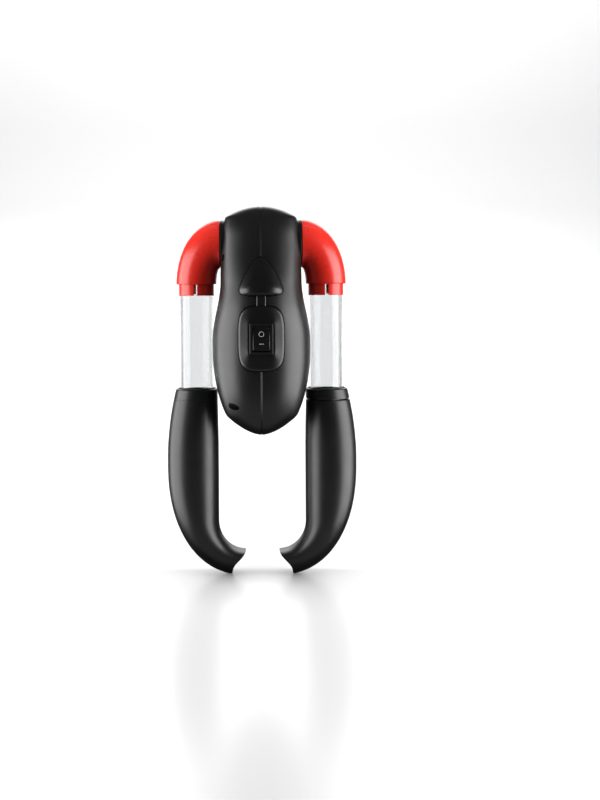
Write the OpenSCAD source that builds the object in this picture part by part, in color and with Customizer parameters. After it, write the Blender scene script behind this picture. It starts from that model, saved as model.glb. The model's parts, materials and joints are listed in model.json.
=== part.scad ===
// Twin-arm boot dryer: a blower and heater in a two-part housing push warm air through two
// swivelling elbows, clear tubes and curved outlet nozzles that reach into a pair of boots.
// +X is the object's right seen from the front, -Y is the front, +Z is up. Millimetres.

/* [Housing] */
// Height of the housing from its lowest to its highest point
housing_h = 156.6; // [152:0.2:162]
// Half of the housing's greatest width
housing_half_w = 33.4; // [32:0.1:33.6]
// How far the front bulges ahead of the widest line
front_depth = 27; // [24:0.5:30]
// Wall thickness of the housing shells
housing_wall = 2.2; // [1.8:0.1:2.6]

/* [Arms] */
// Height of the swivel axis of the elbows above the nozzle tips
swivel_z = 229.8; // [227:0.1:231]
// Outer radius of the clear tubes
tube_r = 11.3; // [11:0.05:11.3]
// Wall thickness of the clear tubes
tube_wall = 1.2; // [1:0.1:1.6]
// Length of tube that shows between the elbow collar and the nozzle
tube_shown = 64.8; // [55:0.2:66]
// Wall thickness of the nozzle shells
nozzle_wall = 1.5; // [1.2:0.1:1.5]

/* [Switch] */
// Half width and half height of the switch bezel
bezel = [7.7, 10.1];
// Tilt of the rocker either side of level, in degrees
rocker_tilt = 9; // [7:0.5:10]

/* [Screws] */
// Radius of the heads of the screws that hold the halves together
screw_head_r = 2.2; // [2:0.1:2.6]

/* [Hidden] */
$fn = 48;

// The origin lies midway between the nozzle tips, in the arms' plane, at the tips' lowest point.

// ---- housing shape -------------------------------------------------------------------------
housing_top = 255.2;
housing_bottom = housing_top - housing_h;
mid_z = (housing_top + housing_bottom) / 2;
half_h = housing_h / 2;
back_y = 21;            // how far the back would bulge
back_flat_y = 18.2;     // the flat it lies on when put down
belt_low_y = -19;       // depth of the widest line, low on the housing
belt_high_y = -8;       // and near the elbows
top_corner_z = 247.9;   // where the crowned top meets the sides
top_crown_r = 45;
bottom_corner_z = 111.6;
bottom_crown_p = 0.58;  // how fast the lowest part opens out from its tip
belly_z = 157;          // height of the greatest width
belly_b = 65.6;         // vertical half axis of the lower side curve
neck_half_w = 27.9;     // half width just under the elbows
neck_z = 198;           // above this the sides lean in, slowly at first
neck_drop = 2.2;        // and have come in by this much
neck_rise = 45;         // this far up
waist_z = 203;          // the belly blends into the neck below this, over this height
waist_h = 40;
front_n = 2.05;         // superellipse powers of the cross-sections
boss_r = 16.5;
boss_end_x = 26.8;
ring_seat_r = 15;

function smooth(t) = let (c = max(0, min(1, t))) c * c * (3 - 2 * c);
function ellipse_w(t, p) = pow(max(0, 1 - pow(abs(t), p)), 1 / p);

function side_w(z) = z < belly_z
    ? housing_half_w * sqrt(1 - pow((belly_z - z) / belly_b, 2))
    : neck_half_w - neck_drop * pow(max(0, z - neck_z) / neck_rise, 4)
        + (housing_half_w - neck_half_w) * smooth((waist_z - z) / waist_h);
function low_share(z) = max(0, z - housing_bottom) / (bottom_corner_z - housing_bottom);
no_limit = 1000;
function crown_w(z) = z > top_corner_z
    ? sqrt(max(0, pow(top_crown_r, 2) - pow(z - housing_top + top_crown_r, 2)))
    : z < bottom_corner_z
        ? side_w(bottom_corner_z) * pow(low_share(z), bottom_crown_p)
        : no_limit;
function half_w(z) = min(side_w(z), crown_w(z));
function belt_y(z) = belt_low_y + (belt_high_y - belt_low_y) * smooth((z - 175) / 60);
function front_d(z) = front_depth * ellipse_w((z - mid_z) / half_h, 2.4);
function back_d(z) = (back_y - belt_y(z)) * ellipse_w((z - mid_z) / half_h, 3.4);
function back_n(z) = 1.75 + 1.65 * smooth((z - 190) / 30);

// Depth of the front surface at a place on the front.
function front_y(x, z) = belt_y(z) - front_d(z) * ellipse_w(min(1, abs(x) / max(0.01, half_w(z))), front_n);

// A level drawn in towards the middle, so that the skins of all insets stay clear of each other.
function inset_z(z, inset) = mid_z + (z - mid_z) * (1 - inset / half_h);

// One point of a half section: a = 0 is the front seam, 90 the widest line, 180 the back seam.
function section_point(z, a, inset) = let (
        p = a <= 90 ? front_n : back_n(z),
        d = (a <= 90 ? front_d(z) : back_d(z)) - inset,
        w = max(0.4, half_w(z) - inset),
        s = pow(abs(sin(a)), 2 / p),
        c = pow(abs(cos(a)), 2 / p) * (a <= 90 ? -1 : 1)
    ) [w * s, min(back_flat_y - inset, belt_y(z) + max(0.3, d) * c), inset_z(z, inset)];

section_steps = 20;
cap_steps = 5;
body_steps = 20;
function cap_share(k) = 1 - cos(90 * k / cap_steps);
function body_level(share) = bottom_corner_z + (top_corner_z - bottom_corner_z) * share;
levels = concat(
    [for (k = [1 : cap_steps]) housing_bottom + (bottom_corner_z - housing_bottom) * cap_share(k)],
    [for (k = [1 : body_steps - 1]) body_level((1 - cos(180 * k / body_steps)) / 2)],
    [for (k = [cap_steps : -1 : 1]) housing_top - (housing_top - top_corner_z) * cap_share(k)]);

// The right-hand half of the housing's skin as a grid of points, from the front seam to the back.
function half_row(z, inset) = [for (j = [0 : section_steps])
    section_point(z, 180 * j / section_steps, inset)];
function half_skin(inset) = [for (z = levels) half_row(z, inset)];
function pole(z, inset) = [0, belt_y(z), inset_z(z, inset)];

function flatten(rows) = [for (row = rows) for (p = row) p];

// The right-hand half of the hollow shell.
module half_shell() {
    n = len(levels);
    m = section_steps + 1;
    outer = half_skin(0);
    inner = half_skin(housing_wall);
    points = concat(flatten(outer), flatten(inner),
        [pole(housing_bottom, 0), pole(housing_top, 0)],
        [pole(housing_bottom, housing_wall), pole(housing_top, housing_wall)]);
    function o(i, j) = i * m + j;
    function q(i, j) = n * m + i * m + j;
    ob = 2 * n * m;
    faces = concat(
        [for (i = [0 : n - 2], j = [0 : m - 2]) [o(i, j), o(i + 1, j), o(i + 1, j + 1)]],
        [for (i = [0 : n - 2], j = [0 : m - 2]) [o(i, j), o(i + 1, j + 1), o(i, j + 1)]],
        [for (i = [0 : n - 2], j = [0 : m - 2]) [q(i, j), q(i + 1, j + 1), q(i + 1, j)]],
        [for (i = [0 : n - 2], j = [0 : m - 2]) [q(i, j), q(i, j + 1), q(i + 1, j + 1)]],
        [for (j = [0 : m - 2]) [ob, o(0, j), o(0, j + 1)]],
        [for (j = [0 : m - 2]) [ob + 1, o(n - 1, j + 1), o(n - 1, j)]],
        [for (j = [0 : m - 2]) [ob + 2, q(0, j + 1), q(0, j)]],
        [for (j = [0 : m - 2]) [ob + 3, q(n - 1, j), q(n - 1, j + 1)]],
        [for (i = [0 : n - 2]) [o(i, 0), q(i, 0), q(i + 1, 0), o(i + 1, 0)]],
        [for (i = [0 : n - 2]) [o(i, m - 1), o(i + 1, m - 1), q(i + 1, m - 1), q(i, m - 1)]],
        [[ob, ob + 2, q(0, 0), o(0, 0)], [ob, o(0, m - 1), q(0, m - 1), ob + 2],
         [ob + 1, o(n - 1, 0), q(n - 1, 0), ob + 3], [ob + 1, ob + 3, q(n - 1, m - 1), o(n - 1, m - 1)]]);
    polyhedron(points, faces);
}

// The same half filled in, for trimming things to its inside.
module half_solid(inset) {
    n = len(levels);
    m = section_steps + 1;
    points = concat(flatten(half_skin(inset)), [pole(housing_bottom, inset), pole(housing_top, inset)]);
    function o(i, j) = i * m + j;
    front_seam = [for (i = [n - 1 : -1 : 0]) o(i, 0)];
    back_seam = [for (i = [0 : n - 1]) o(i, m - 1)];
    polyhedron(points, concat(
        [for (i = [0 : n - 2], j = [0 : m - 2]) [o(i, j), o(i + 1, j), o(i + 1, j + 1)]],
        [for (i = [0 : n - 2], j = [0 : m - 2]) [o(i, j), o(i + 1, j + 1), o(i, j + 1)]],
        [for (j = [0 : m - 2]) [n * m, o(0, j), o(0, j + 1)]],
        [for (j = [0 : m - 2]) [n * m + 1, o(n - 1, j + 1), o(n - 1, j)]],
        [concat([n * m], back_seam, [n * m + 1], front_seam)]));
}

// ---- helpers -------------------------------------------------------------------------------
module rod_x(x0, x1, r, y = 0, z = 0) {
    translate([min(x0, x1), y, z]) rotate([0, 90, 0]) cylinder(r = r, h = abs(x1 - x0));
}
module rod_y(y0, y1, r, x = 0, z = 0) {
    translate([x, max(y0, y1), z]) rotate([90, 0, 0]) cylinder(r = r, h = abs(y1 - y0));
}
module rod_z(z0, z1, r, x = 0, y = 0) {
    translate([x, y, z0]) cylinder(r = r, h = z1 - z0);
}
module block(x0, x1, y0, y1, z0, z1) {
    translate([x0, y0, z0]) cube([x1 - x0, y1 - y0, z1 - z0]);
}
// The arms' pieces are drawn for the right-hand side; side -1 mirrors them to the left.
module on_side(side) {
    mirror([side < 0 ? 1 : 0, 0, 0]) children();
}

// A ring-shaped skin: the loops run down the outside and back up the inside.
module skin_torus(loops) {
    n = len(loops);
    m = len(loops[0]);
    function id(i, j) = (i % n) * m + (j % m);
    polyhedron(flatten(loops), concat(
        [for (i = [0 : n - 1], j = [0 : m - 1]) [id(i, j), id(i, j + 1), id(i + 1, j + 1)]],
        [for (i = [0 : n - 1], j = [0 : m - 1]) [id(i, j), id(i + 1, j + 1), id(i + 1, j)]]));
}

// A closed skin through layers of loops, capped by a fan at each end.
module skin_closed(loops, first, last) {
    n = len(loops);
    m = len(loops[0]);
    function id(i, j) = i * m + (j % m);
    polyhedron(concat(flatten(loops), [first, last]), concat(
        [for (i = [0 : n - 2], j = [0 : m - 1]) [id(i, j), id(i, j + 1), id(i + 1, j + 1)]],
        [for (i = [0 : n - 2], j = [0 : m - 1]) [id(i, j), id(i + 1, j + 1), id(i + 1, j)]],
        [for (j = [0 : m - 1]) [n * m, id(0, j + 1), id(0, j)]],
        [for (j = [0 : m - 1]) [n * m + 1, id(n - 1, j), id(n - 1, j + 1)]]));
}

// ---- outlines on the front ------------------------------------------------------------------
panel_c = 165;             // height of the switch panel's middle
panel_half = [15.35, 21.7];
panel_face_y = -48.2;      // the flat face that carries the switch
hood_top = 219.3;
hood_h = 26.3;
hood_c = 203;
neck_half = 3;
trim_gap = 0.35;
outline_steps = 36;

function panel_outline(a, grow) = let (p = 3.6) [
    (panel_half[0] + grow) * sign(cos(a)) * pow(abs(cos(a)), 2 / p),
    panel_c + (panel_half[1] + grow) * sign(sin(a)) * pow(abs(sin(a)), 2 / p)];
// Half width of the hood at a share t of its height, from the apex down.
function hood_half(t) = 16.8 * pow(t, 0.58) * pow(max(0, 1 - pow(t, 14)), 1 / 3);
function hood_outline(a, grow) = let (
        t = (1 - sin(a)) / 2,
        x = sign(cos(a)) * hood_half(t),
        z = hood_top - hood_h * t,
        r = norm([x, z - hood_c])
    ) [x * (1 + grow / r), hood_c + (z - hood_c) * (1 + grow / r)];

function outline_angle(j) = 360 * j / outline_steps;
function panel_loop(scale, grow) = [for (j = [0 : outline_steps - 1])
    let (p = panel_outline(outline_angle(j), grow)) [p[0] * scale, panel_c + (p[1] - panel_c) * scale]];
function hood_loop(scale, grow) = [for (j = [0 : outline_steps - 1])
    let (p = hood_outline(outline_angle(j) + 0.01, grow)) [p[0] * scale, hood_c + (p[1] - hood_c) * scale]];
function lifted(loop, h) = [for (p = loop) [p[0], front_y(p[0], p[1]) - h, p[1]]];
function at_depth(loop, y) = [for (p = loop) [p[0], y, p[1]]];

// A straight cutter through the front wall in the shape of an outline.
module front_cutter(loop) {
    translate([0, -20, 0]) rotate([90, 0, 0]) linear_extrude(40) polygon(loop);
}

module hood_cap() {
    color([0.09, 0.09, 0.10]) hood_body();
}

// Height of the hood above the housing: steep at its lower edge, long and shallow towards its apex.
function hood_rise(p, scale) = 0.9 + 4.2 * (1 - pow(scale, 4)) * (0.35 + 0.65 * (hood_top - p[1]) / hood_h);
module hood_body() {
    rings = [0.22, 0.45, 0.65, 0.8, 0.9, 0.97, 1];
    skin_closed(concat(
        [for (s = rings) [for (p = hood_loop(s, 0)) [p[0], front_y(p[0], p[1]) - hood_rise(p, s), p[1]]]],
        [lifted(hood_loop(1, 0), -1.9)],
        [lifted(hood_loop(0.9, 0), -3.6)]),
        [0, front_y(0, hood_c) - hood_rise([0, hood_c], 0), hood_c],
        [0, front_y(0, hood_c) + 3.2, hood_c]);
}

module switch_panel() {
    color([0.09, 0.09, 0.10]) difference() {
        union() {
            skin_closed([
                at_depth(panel_loop(0.82, 0), panel_face_y),
                at_depth(panel_loop(0.86, 0), panel_face_y + 0.4),
                lifted(panel_loop(0.98, 0), 2.6), lifted(panel_loop(1, 0), 2.1), lifted(panel_loop(1, 0), -1.9),
                lifted(panel_loop(0.9, 0), -3.4)],
                [0, panel_face_y, panel_c], [0, front_y(0, panel_c) + 3.2, panel_c]);
            neck();
        }
        block(-6.9, 6.9, -60, -30, panel_c - 9.2, panel_c + 9.2);
    }
}

// The bridge between the panel and the hood, following the slope of the front.
neck_low_z = 183.5;
neck_high_z = 192.6;
neck_t = 3.2;
module neck() {
    low_y = front_y(0, neck_low_z) - 0.9;
    high_y = front_y(0, neck_high_z) - 0.9;
    rotate([90, 0, 90]) translate([0, 0, -neck_half]) linear_extrude(2 * neck_half) polygon([
        [low_y, neck_low_z], [high_y, neck_high_z],
        [high_y + neck_t, neck_high_z], [low_y + neck_t, neck_low_z]]);
}

// ---- housing halves --------------------------------------------------------------------------
// Screws run along X; each place is [y, z].
screw_places = [[-18.5, 219.5], [-33.8, 119.3], [7, 179], [4, 131]];
boss_screw_r = 4;
screw_seat_x = 8;
slot_count = 9;
slot_middle = (slot_count - 1) / 2;
slot_pitch = 4.6;
slot_h = 2.2;
intake_z = 157;
inlet_half = [10.5, 6];
inlet_z = 116;
inlet_face_y = 8.6;

module screw_bosses(x1) {
    intersection() {
        half_solid(0.6);
        for (p = screw_places) rod_x(0, x1, boss_screw_r, p[0], p[1]);
    }
}

module housing_base() {
    difference() {
        union() {
            half_shell();
            screw_bosses(40);
            rod_x(19.2, boss_end_x, boss_r, 0, swivel_z);
        }
        rod_x(18, 40, ring_seat_r, 0, swivel_z);
        rod_x(boss_end_x, 40, boss_r + 0.3, 0, swivel_z);
        // intake slots in the back, clear of the seam
        for (k = [0 : slot_count - 1]) translate([0, 0, intake_z + (k - slot_middle) * slot_pitch])
            block(3, 6.5 + 12 * sqrt(1 - pow((k - slot_middle) / 5, 2)), 0, 30, -slot_h / 2, slot_h / 2);
        // openings for the panel, the neck, the hood and the power inlet
        front_cutter(panel_loop(1, trim_gap));
        front_cutter(hood_loop(1, trim_gap));
        block(-1, neck_half + trim_gap, -60, -20, 184, 195);
        block(-1, inlet_half[0] + 0.2, 0, 30, inlet_z - inlet_half[1] - 0.2, inlet_z + inlet_half[1] + 0.2);
    }
}

module left_housing() {
    color([0.16, 0.16, 0.17]) mirror([1, 0, 0]) difference() {
        housing_base();
        for (p = screw_places) {
            rod_x(screw_seat_x, 40, screw_head_r + 0.2, p[0], p[1]);
            rod_x(-1, screw_seat_x + 1, 1.6, p[0], p[1]);
        }
    }
}

module right_housing() {
    color([0.16, 0.16, 0.17]) difference() {
        housing_base();
        for (p = screw_places) rod_x(-1, 9, 1.25, p[0], p[1]);
    }
}

module housing_screws() {
    color("silver") for (p = screw_places) difference() {
        union() {
            rod_x(-screw_seat_x - 1.8, -screw_seat_x, screw_head_r, p[0], p[1]);
            rod_x(-screw_seat_x - 0.5, 8, 1.25, p[0], p[1]);
        }
        for (a = [0, 90]) translate([-screw_seat_x - 1.8, p[0], p[1]]) rotate([a, 0, 0])
            cube([1.8, 3, 0.6], center = true);
    }
}

// ---- switch -------------------------------------------------------------------------------------
pivot_y = -46.6;
well = [5.75, 8.45];
rocker_end_r = 8.3;

module switch_body() {
    color([0.07, 0.07, 0.08]) difference() {
        union() {
            block(-bezel[0], bezel[0], panel_face_y - 1.2, panel_face_y,
                panel_c - bezel[1], panel_c + bezel[1]);
            block(-6.8, 6.8, panel_face_y - 0.1, -36, panel_c - 9.1, panel_c + 9.1);
        }
        block(-well[0], well[0], -60, -39.5, panel_c - well[1], panel_c + well[1]);
        rod_x(-6.5, 6.5, 1.05, pivot_y, panel_c);
    }
}

// The rocker rests with its upper end, marked with a ring, pressed in.
module switch_rocker() {
    color([0.08, 0.08, 0.09]) union() {
        translate([0, pivot_y, panel_c]) rotate([-rocker_tilt, 0, 0]) rocker_level();
        rod_x(-6.4, 6.4, 1, pivot_y, panel_c);
    }
}

// Drawn level, with its pivot at the origin: y is depth and z runs along the rocker.
module rocker_level() {
    intersection() {
        rod_x(-5.55, 5.55, rocker_end_r);
        rotate([90, 0, 90]) translate([0, 0, -6]) linear_extrude(12)
            polygon([[3.4, -4], [-4.1, -9], [-3.3, -4.5], [-3, 0], [-3.3, 4.5], [-4.1, 9], [3.4, 4]]);
    }
}

module switch_terminals() {
    color("gold") for (z = [-6, 0, 6]) block(-2.4, 2.4, -36, -28.5, panel_c + z - 0.4, panel_c + z + 0.4);
}

// ---- blower --------------------------------------------------------------------------------------
blower_z = 157;
casing_r = 27;
casing_front = -25;
casing_back = -9;
duct_half = 14.5;
duct_z = 188.2;
motor_r = 12.1;

module blower_casing() {
    color([0.75, 0.75, 0.72]) difference() {
        union() {
            rod_y(casing_front, casing_back, casing_r, 0, blower_z);
            block(-duct_half, duct_half, casing_front, casing_back, blower_z, duct_z);
        }
        rod_y(casing_front + 1.5, casing_back + 1, casing_r - 1.5, 0, blower_z);
        block(-duct_half + 1.5, duct_half - 1.5, casing_front + 1.5, casing_back + 1, blower_z, duct_z + 1);
    }
}

module blower_cover() {
    color([0.75, 0.75, 0.72]) difference() {
        union() {
            difference() {
                union() {
                    rod_y(casing_back, casing_back + 1.5, casing_r, 0, blower_z);
                    block(-duct_half, duct_half, casing_back, casing_back + 1.5, blower_z, duct_z);
                }
                rod_y(casing_back - 1, casing_back + 3, 18, 0, blower_z);
            }
            rod_y(casing_back, casing_back + 6, motor_r + 1.6, 0, blower_z);
            for (a = [90, 210, 330]) translate([0, casing_back, blower_z]) rotate([0, a, 0])
                block(12.6, 19, 0, 2.5, -1.5, 1.5);
        }
        rod_y(casing_back + 1.5, casing_back + 7, motor_r, 0, blower_z);
        rod_y(casing_back - 1, casing_back + 2, 4, 0, blower_z);
        for (s = [-1, 1]) rod_y(casing_back - 1, casing_back + 2, 1, 8 * s, blower_z);
    }
}

module motor() {
    color("silver") difference() {
        union() {
            rod_y(casing_back + 1.5, 9, motor_r, 0, blower_z);
            rod_y(9, 11, 4.5, 0, blower_z);
            for (s = [-1, 1]) block(7 * s - 1.2, 7 * s + 1.2, 9, 12, blower_z - 0.3, blower_z + 0.3);
        }
        rod_y(casing_back, 10, 1.04, 0, blower_z);
        for (s = [-1, 1]) rod_y(casing_back, casing_back + 3.6, 0.9, 8 * s, blower_z);
    }
}

module motor_screws() {
    color("silver") for (s = [-1, 1]) {
        rod_y(casing_back - 1, casing_back, 1.7, 8 * s, blower_z);
        rod_y(casing_back - 0.2, casing_back + 3.4, 0.9, 8 * s, blower_z);
    }
}

module motor_shaft() {
    color("silver") rod_y(-21.9, 9.6, 1, 0, blower_z);
}

blade_count = 24;
module impeller() {
    color([0.2, 0.2, 0.22]) difference() {
        union() {
            rod_y(-22.6, -21.2, 22.6, 0, blower_z);
            rod_y(-22.6, -14, 4, 0, blower_z);
            for (k = [0 : blade_count - 1]) translate([0, 0, blower_z]) rotate([0, 360 * k / blade_count, 0])
                translate([19.6, -21.4, 0]) rotate([0, 28, 0]) block(-2.9, 2.9, 0, 10.2, -0.4, 0.4);
            difference() {
                rod_y(-12.2, -11.2, 22.6, 0, blower_z);
                rod_y(-13, -10, 17.6, 0, blower_z);
            }
        }
        rod_y(-22.1, -10, 1, 0, blower_z);
    }
}

// ---- duct and heater --------------------------------------------------------------------------------
duct_w = 15.5;
duct_split_z = 207;
module air_duct() {
    color([0.8, 0.78, 0.7]) difference() {
        union() {
            block(-duct_w, duct_w, -24, 8, duct_z, duct_split_z);
            block(-duct_w, duct_w, -12.4, 8, duct_split_z - 1, swivel_z);
            rod_x(-16.5, 16.5, 13.4, 0, swivel_z);
        }
        block(-duct_w + 1.5, duct_w - 1.5, -22.5, 6.5, duct_z + 1.5, duct_split_z - 1.5);
        block(-duct_w + 1.5, duct_w - 1.5, -10.9, 6.5, duct_split_z - 2, swivel_z);
        block(-duct_half + 1.5, duct_half - 1.5, -22.5, casing_back - 1.5, duct_z - 1, duct_z + 2);
        rod_x(-17, 17, 12.3, 0, swivel_z);
    }
}

module heater_frame() {
    color([0.55, 0.5, 0.42]) difference() {
        block(-13.9, 13.9, -22.4, 6.4, 191.5, 203.5);
        block(-12.4, 12.4, -20.9, 4.9, 191, 204);
    }
}

fin_count = 13;
module heater_element() {
    color("silver") {
        for (y = [-20.9, -8.9, 3.1]) block(-12.4, 12.4, y, y + 1.8, 192.5, 202.5);
        for (k = [0 : fin_count - 1], y = [-19.1, -7.1])
            block(-12 + 2 * k - 0.25, -12 + 2 * k + 0.25, y, y + 10.2, 193, 202);
    }
}

module thermostat() {
    color([0.15, 0.12, 0.1]) union() {
        rod_y(-29.5, -24, 5.5, 4, 197.5);
        for (s = [-1, 1]) block(4 + 3 * s - 1.2, 4 + 3 * s + 1.2, -33, -29.4, 197.1, 197.9);
    }
}

module thermal_fuse() {
    color("white") union() {
        rod_x(-13, -4, 1.7, -25.7, 193);
        rod_x(-15, -2, 0.4, -25.7, 193);
    }
}

module control_board() {
    color("darkgreen") union() {
        block(-11, 11, -31, -29.4, 123, 141);
        rod_y(-35, -31, 3, 5, 134);
        for (k = [0 : 3]) rod_x(-9, -3, 1.1, -32.1, 126 + 4 * k);
    }
}

// ---- power inlet ------------------------------------------------------------------------------------
pin_half_pitch = 4.3;
module power_inlet() {
    color([0.07, 0.07, 0.08]) difference() {
        block(-inlet_half[0], inlet_half[0], -8, inlet_face_y,
            inlet_z - inlet_half[1], inlet_z + inlet_half[1]);
        for (s = [-1, 1]) {
            rod_y(-3, inlet_face_y + 1, 4, pin_half_pitch * s, inlet_z);
            rod_y(-9, 0, 1.18, pin_half_pitch * s, inlet_z);
        }
        block(-pin_half_pitch, pin_half_pitch, -3, inlet_face_y + 1, inlet_z - 2.6, inlet_z + 2.6);
    }
}

module inlet_pins() {
    color("gold") for (s = [-1, 1]) union() {
        rod_y(-8, 6, 1.18, pin_half_pitch * s, inlet_z);
        block(pin_half_pitch * s - 1.5, pin_half_pitch * s + 1.5, -12, -8, inlet_z - 0.4, inlet_z + 0.4);
    }
}

// ---- wiring -----------------------------------------------------------------------------------------
wire_r = 0.8;
wire_sides = 8;
function unit(v) = v / norm(v);
// One ring of a wire, square to the middle of the bend between its neighbours.
function wire_loop(points, k) = let (
        n = len(points) - 1,
        ahead = unit(points[min(n, k + 1)] - points[min(n - 1, k)]),
        behind = unit(points[max(1, k)] - points[max(0, k - 1)]),
        d = unit(ahead + behind),
        u = unit(cross(d, [1, 0.2, 0.1])),
        v = cross(d, u)
    ) [for (j = [0 : wire_sides - 1]) points[k] + wire_r * (cos(45 * j) * u + sin(45 * j) * v)];
module wire(points) {
    n = len(points) - 1;
    skin_closed([for (k = [0 : n]) wire_loop(points, k)], points[0], points[n]);
}
module wiring() {
    color("firebrick") {
        wire([[-4.3, -13, 116], [-4.3, -27, 118], [-9, -27.5, 124], [-9, -28.4, 130]]);
        wire([[4.3, -13, 116], [4.3, -27, 116], [13.4, -28, 121], [13.4, -33, 150], [3.6, -31, 159]]);
        wire([[-3.6, -31, 165], [-12, -31, 170], [-14.6, -29, 184], [-15.8, -25.9, 193]]);
        wire([[3.6, -31, 171], [12.6, -33, 176], [12, -33, 190], [8.2, -33.5, 196.4]]);
    }
}

// ---- arms: drawn for the right-hand side, mirrored for the left --------------------------------------
arm_x = 45.2;
elbow_face_x = 28.4;
elbow_end_z = 201.6;
elbow_face_r = 16.8;
elbow_end_r = 14.05;
// quarter-ellipse half axes of the outside and the inside of the bend
elbow_outer = [arm_x - elbow_face_x + elbow_end_r, swivel_z - elbow_end_z + elbow_face_r];
elbow_inner = [arm_x - elbow_face_x - elbow_end_r, swivel_z - elbow_end_z - elbow_face_r];
elbow_duct_r = 10.2;
spigot_r = 12;
collar_z = elbow_end_z - 8;
collar_r = 12.25;
socket_r = tube_r + 0.05;
tube_top = 205.5;
nozzle_top = collar_z - tube_shown;

// Pressed into the housing's side; the elbow's spigot turns in it.
module swivel_ring() {
    color([0.05, 0.05, 0.05]) difference() {
        union() {
            rod_x(19, boss_end_x, ring_seat_r, 0, swivel_z);
            rod_x(boss_end_x, 28.15, boss_r, 0, swivel_z);
        }
        rod_x(18, 30, spigot_r + 0.05, 0, swivel_z);
        rod_x(18, 21.5, 13.3, 0, swivel_z);
    }
}

elbow_rings = 12;
ring_steps = 28;
function elbow_centre(a) = [elbow_face_x + (elbow_outer[0] + elbow_inner[0]) / 2 * sin(a),
    elbow_end_z + (elbow_outer[1] + elbow_inner[1]) / 2 * cos(a)];
function elbow_axis(a) = [(elbow_outer[0] - elbow_inner[0]) / 2 * sin(a),
    (elbow_outer[1] - elbow_inner[1]) / 2 * cos(a)];
function elbow_loop(a, radius) = let (
        c = elbow_centre(a),
        v = elbow_axis(a),
        u = v / norm(v),
        long = radius ? radius : norm(v),
        wide = radius ? radius : elbow_face_r + (elbow_end_r - elbow_face_r) * a / 90
    ) [for (j = [0 : ring_steps - 1]) let (t = 360 * j / ring_steps)
        [c[0] + long * cos(t) * u[0], wide * sin(t), c[1] + long * cos(t) * u[1]]];

// A hollow quarter bend with the spigot it turns on and the slotted collar that grips the tube.
module elbow() {
    color([0.86, 0.16, 0.12]) difference() {
        union() {
            skin_torus(concat(
                [for (k = [0 : elbow_rings]) elbow_loop(90 * k / elbow_rings, 0)],
                [for (k = [elbow_rings : -1 : 0]) elbow_loop(90 * k / elbow_rings, elbow_duct_r)]));
            difference() {
                union() {
                    rod_x(20, elbow_face_x + 0.8, spigot_r, 0, swivel_z);
                    rod_x(20, 21.2, 12.9, 0, swivel_z);
                }
                rod_x(19, elbow_face_x + 1, elbow_duct_r, 0, swivel_z);
                difference() {
                    rod_x(24, 25.2, spigot_r + 1, 0, swivel_z);
                    rod_x(23, 26, spigot_r - 0.9, 0, swivel_z);
                }
            }
            rod_z(collar_z, elbow_end_z + 1, collar_r, arm_x);
        }
        rod_z(collar_z - 1, tube_top + 0.4, socket_r, arm_x);
        for (a = [0, 90]) translate([arm_x, 0, 0]) rotate([0, 0, a])
            block(-15, 15, -0.9, 0.9, collar_z - 1, elbow_end_z - 0.6);
    }
}

module elbow_seal() {
    color([0.03, 0.03, 0.03]) translate([24.6, 0, swivel_z]) rotate([0, 90, 0])
        rotate_extrude() translate([11.56, 0]) circle(r = 0.45);
}

tube_end = nozzle_top - 18;
module tube() {
    color([0.9, 0.92, 0.93, 0.4]) difference() {
        rod_z(tube_end, tube_top, tube_r, arm_x);
        rod_z(tube_end - 1, tube_top + 1, tube_r - tube_wall, arm_x);
    }
}

// Glued to the end of the tube, it keeps the sliding nozzle on.
module tube_stop() {
    color([0.05, 0.05, 0.05]) difference() {
        rod_z(tube_end, tube_end + 2.2, 12.4, arm_x);
        rod_z(tube_end - 1, tube_end + 3, tube_r, arm_x);
    }
}

// ---- nozzle: sections run from the top, straight down, then round the bend to the outlet -------------
bend_z = 36.5;
belly_top_z = 80;
bulge_x = 65.9;
outer_c = [10.5, 76.1];
outer_r = [55.4, 77.1];
inner_c = [11.5, 36.5];
inner_r = [18.8, 20.6];
outer_p = 2.25;
first_turn = 29.7;       // where on the outer curve the bend begins and ends
last_turn = 80.5;
straight_steps = 11;
bend_steps = 9;
nozzle_half_y = 14.9;
mouth_half_y = 12.2;
mouth_cut = 1.9;
collar_h = 7.1;

function nozzle_inner_x(z) = 30.3 + 0.5 * smooth((z - 90) / 38);
function nozzle_outer_x(z) = z > belly_top_z ? bulge_x - pow(z - belly_top_z, 2) / 390
    : z > outer_c[1] ? bulge_x
    : outer_c[0] + outer_r[0] * ellipse_w((outer_c[1] - z) / outer_r[1], outer_p);
function nozzle_wide(z) = 14.15 + (nozzle_half_y - 14.15) * smooth((nozzle_top - z) / 30);

// A section between two points of the side outline, widened in y.
function nozzle_loop(inner, outer, wide, power, inset, cut = 0) = let (
        c = (inner + outer) / 2,
        v = (outer - inner) / 2,
        u = v / norm(v),
        along = [-u[1], u[0]],
        long = norm(v) - inset,
        w = wide - inset
    ) [for (j = [0 : ring_steps - 1]) let (
            t = 360 * j / ring_steps,
            cx = sign(cos(t)) * pow(abs(cos(t)), 2 / power),
            sy = sign(sin(t)) * pow(abs(sin(t)), 2 / power),
            back = cut * sin(180 * pow((1 + cx) / 2, 1.6)) * abs(sy)
        ) [c[0] + long * cx * u[0] + back * along[0], w * sy, c[1] + long * cx * u[1] + back * along[1]]];

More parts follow.
